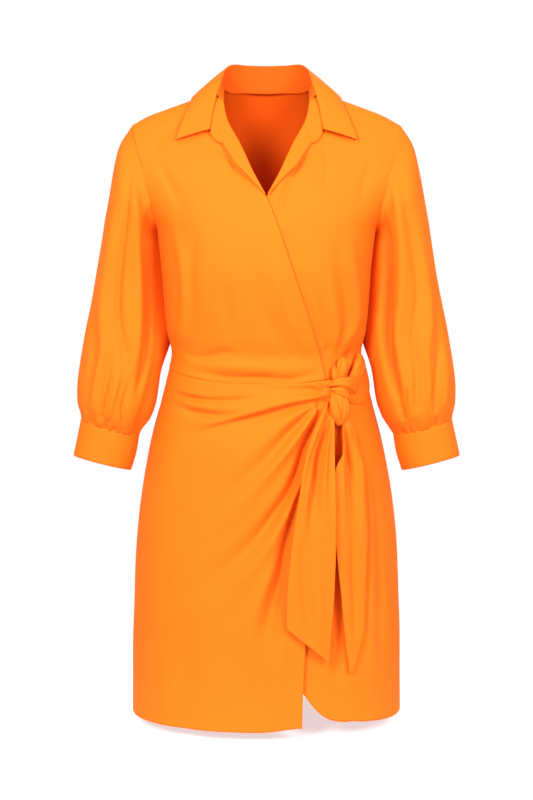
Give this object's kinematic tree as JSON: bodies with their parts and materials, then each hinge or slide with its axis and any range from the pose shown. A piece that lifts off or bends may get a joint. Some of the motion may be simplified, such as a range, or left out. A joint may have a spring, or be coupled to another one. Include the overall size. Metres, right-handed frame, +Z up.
{
  "type": "wrap dress",
  "caption": "Short wrap shirt dress with a pointed collar, three-quarter sleeves gathered into cuffs and a knotted side tie with two hanging ends.",
  "frame": {"origin": "midway between the two neck points of the shoulders, where the wearer carries the dress", "axes": "+Z up towards the collar, -Y out of the front, +X towards the wearer's left sleeve"},
  "size_m": [0.558, 0.2719, 0.9418],
  "materials": {
    "cloth": "matte"
  },
  "bodies": {
    "root": {"bodice_back": "cloth", "bodice_front_over": "cloth", "bodice_front_under": "cloth", "collar_stand": "cloth", "collar_leaf": "cloth", "stand_end_over": "cloth", "stand_end_under": "cloth", "facing_over": "cloth", "facing_under": "cloth", "sleeve_left": "cloth", "sleeve_right": "cloth", "cuff_left": "cloth", "cuff_right": "cloth", "skirt_back": "cloth", "skirt_front_over": "cloth", "skirt_front_under": "cloth", "tie_band": "cloth", "tie_knot": "cloth", "tie_loop_inner": "cloth", "tie_loop_outer": "cloth", "tie_tail_front": "cloth", "tie_tail_back": "cloth"}
  },
  "joints": []
}
